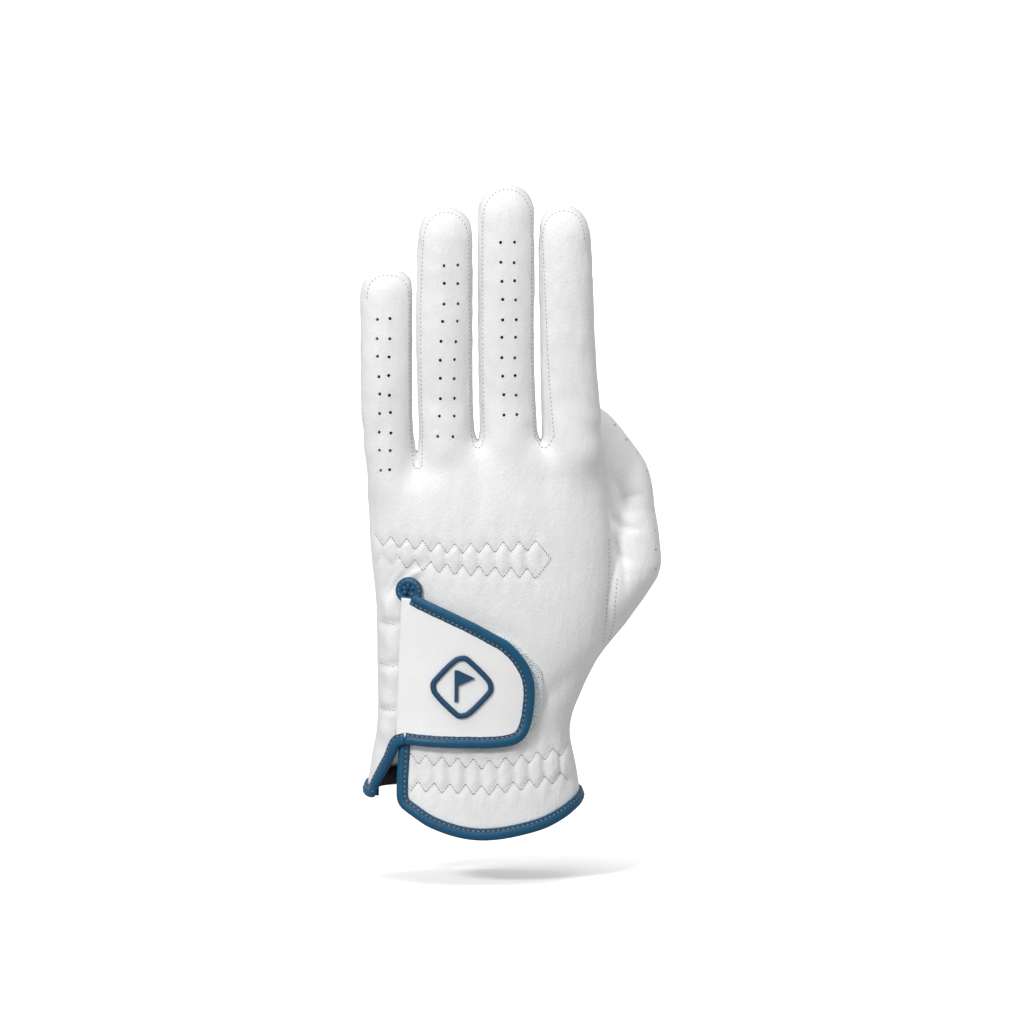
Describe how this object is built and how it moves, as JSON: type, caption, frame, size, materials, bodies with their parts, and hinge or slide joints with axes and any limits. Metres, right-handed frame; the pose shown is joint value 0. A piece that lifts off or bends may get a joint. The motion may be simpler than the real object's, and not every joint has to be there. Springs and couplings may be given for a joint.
{
  "type": "golf glove",
  "caption": "Left-hand golf glove of thin white leather, hollow, with bending finger stalls, a set-in thumb and a bound closure tab that swings open.",
  "frame": {"origin": "in the wrist opening, level with the cuff's radial edge and midway between back and palm", "axes": "+Z towards the fingertips, +X towards the thumb, +Y towards the palm, so the back of the hand faces -Y"},
  "size_m": [0.1051, 0.064, 0.2302],
  "materials": {
    "white_leather": "soft matte",
    "white_tab": "smooth matte",
    "blue_binding": "satin",
    "blue_rubber": "satin moulded",
    "mint_loop": "looped fleece",
    "white_hook": "moulded hooks",
    "black_tape": "woven",
    "white_elastic": "woven elastic",
    "white_thread": "twisted thread"
  },
  "bodies": {
    "hand": {"trank_back": "white_leather", "trank_palm": "white_leather", "knuckle_elastic": "white_elastic", "cuff_elastic": "white_elastic", "wrist_elastic": "white_elastic", "inner_cuff_tape": "black_tape", "knuckle_zigzag_upper": "white_thread", "knuckle_zigzag_lower": "white_thread", "cuff_zigzag_upper": "white_thread", "cuff_zigzag_lower": "white_thread", "loop_patch": "mint_loop", "cuff_binding": "blue_binding", "slit_binding": "blue_binding", "gathered_loop": "blue_binding"},
    "closure_tab": {"tab_outer": "white_tab", "tab_hook_strip": "white_hook", "tab_badge": "blue_rubber", "tab_badge_pennant": "blue_rubber", "tab_binding": "blue_binding"},
    "pinky_lower": {"pinky_lower": "white_leather", "pinky_lower_fourchette_radial": "white_leather"},
    "pinky_tip": {"pinky_tip": "white_leather", "pinky_tip_fourchette_radial": "white_leather"},
    "ring_lower": {"ring_lower": "white_leather", "ring_lower_fourchette_ulnar": "white_leather", "ring_lower_fourchette_radial": "white_leather"},
    "ring_tip": {"ring_tip": "white_leather", "ring_tip_fourchette_ulnar": "white_leather", "ring_tip_fourchette_radial": "white_leather"},
    "middle_lower": {"middle_lower": "white_leather", "middle_lower_fourchette_ulnar": "white_leather", "middle_lower_fourchette_radial": "white_leather"},
    "middle_tip": {"middle_tip": "white_leather", "middle_tip_fourchette_ulnar": "white_leather", "middle_tip_fourchette_radial": "white_leather"},
    "index_lower": {"index_lower": "white_leather", "index_lower_fourchette_ulnar": "white_leather"},
    "index_tip": {"index_tip": "white_leather", "index_tip_fourchette_ulnar": "white_leather"},
    "thumb_base": {"thumb_base": "white_leather"},
    "thumb_tip": {"thumb_tip": "white_leather"}
  },
  "joints": [
    {"name": "tab_opens", "type": "hinge", "parent": "hand", "child": "closure_tab", "pos_m": [-0.0306, -0.01653, 0.0238], "axis": [0, 0, -1], "range_deg": [0, 150]},
    {"name": "pinky_root_bends", "type": "hinge", "parent": "hand", "child": "pinky_lower", "pos_m": [-0.0349, 0, 0.1205], "axis": [-1, 0, 0], "range_deg": [-8, 62]},
    {"name": "pinky_middle_bends", "type": "hinge", "parent": "pinky_lower", "child": "pinky_tip", "pos_m": [-0.0349, 0.00134, 0.15], "axis": [-1, 0, 0], "range_deg": [0, 75]},
    {"name": "ring_root_bends", "type": "hinge", "parent": "hand", "child": "ring_lower", "pos_m": [-0.0151, 0, 0.13], "axis": [-1, 0, 0], "range_deg": [-8, 62]},
    {"name": "ring_middle_bends", "type": "hinge", "parent": "ring_lower", "child": "ring_tip", "pos_m": [-0.0151, 0.00129, 0.165], "axis": [-1, 0, 0], "range_deg": [0, 75]},
    {"name": "middle_root_bends", "type": "hinge", "parent": "hand", "child": "middle_lower", "pos_m": [0.0065, 0, 0.13], "axis": [-1, 0, 0], "range_deg": [-8, 62]},
    {"name": "middle_middle_bends", "type": "hinge", "parent": "middle_lower", "child": "middle_tip", "pos_m": [0.0065, 0.00134, 0.17], "axis": [-1, 0, 0], "range_deg": [0, 75]},
    {"name": "index_root_bends", "type": "hinge", "parent": "hand", "child": "index_lower", "pos_m": [0.0278, 0, 0.13], "axis": [-1, 0, 0], "range_deg": [-8, 44]},
    {"name": "index_middle_bends", "type": "hinge", "parent": "index_lower", "child": "index_tip", "pos_m": [0.0278, 0.00133, 0.166], "axis": [-1, 0, 0], "range_deg": [0, 60]},
    {"name": "thumb_swings_out", "type": "hinge", "parent": "hand", "child": "thumb_base", "pos_m": [0.037, -0.008, 0.04], "axis": [-0.1366, -0.0085, -0.9906], "range_deg": [0, 24]},
    {"name": "thumb_knuckle_bends", "type": "hinge", "parent": "thumb_base", "child": "thumb_tip", "pos_m": [0.046, 0.0245, 0.106], "axis": [0, -1, 0], "range_deg": [-30, 8]}
  ]
}
